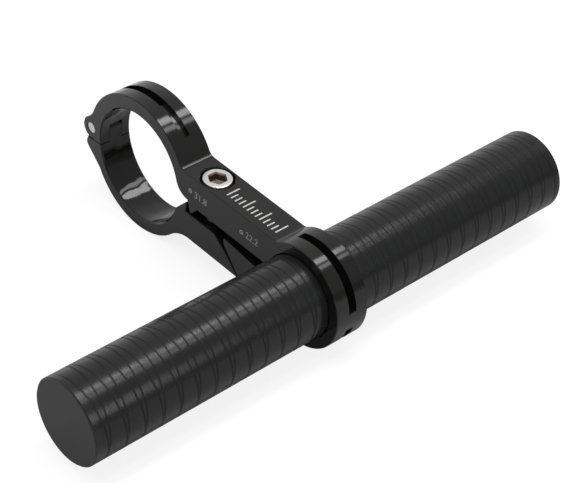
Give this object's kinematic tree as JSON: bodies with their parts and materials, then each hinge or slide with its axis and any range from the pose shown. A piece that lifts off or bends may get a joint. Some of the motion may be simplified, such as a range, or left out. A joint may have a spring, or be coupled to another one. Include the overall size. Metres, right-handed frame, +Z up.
{
  "type": "handlebar extender",
  "caption": "Handlebar extender: a hinged clamp on a handlebar carries a straight side tube in an open ring; one socket screw closes the jaw, and the jaw's wedge closes the ring.",
  "frame": {"origin": "centre of the handlebar clamp's bore, on the bracket's middle plane", "axes": "+X runs along the handlebar and the side tube, +Y points from the tube to the handlebar clamp, +Z is up with both rings standing on a level floor"},
  "size_m": [0.1544, 0.0992, 0.0396],
  "materials": {
    "bracket": "black anodised, semi-gloss",
    "pin": "ground",
    "screw": "bright stainless",
    "tube": "wound carbon fibre in resin, satin",
    "plug": "matte"
  },
  "bodies": {
    "bracket": {"clamp_body": "bracket", "hinge_pin": "pin"},
    "jaw": {"clamp_jaw": "bracket"},
    "screw": {"clamp_screw": "screw"},
    "tube": {"extension_tube": "tube", "end_plug_left": "plug", "end_plug_right": "plug"}
  },
  "joints": [
    {"name": "jaw_hinge", "type": "hinge", "parent": "bracket", "child": "jaw", "pos_m": [0, 0.01981, 0.00198], "axis": [1, 0, 0], "range_deg": [0, 90]},
    {"name": "screw_lift", "type": "slide", "parent": "bracket", "child": "screw", "axis": [0, -0.0694, 0.9976], "range_m": [0, 0.02]},
    {"name": "tube_slide", "type": "slide", "parent": "bracket", "child": "tube", "axis": [1, 0, 0], "range_m": [-0.07, 0.065]}
  ]
}
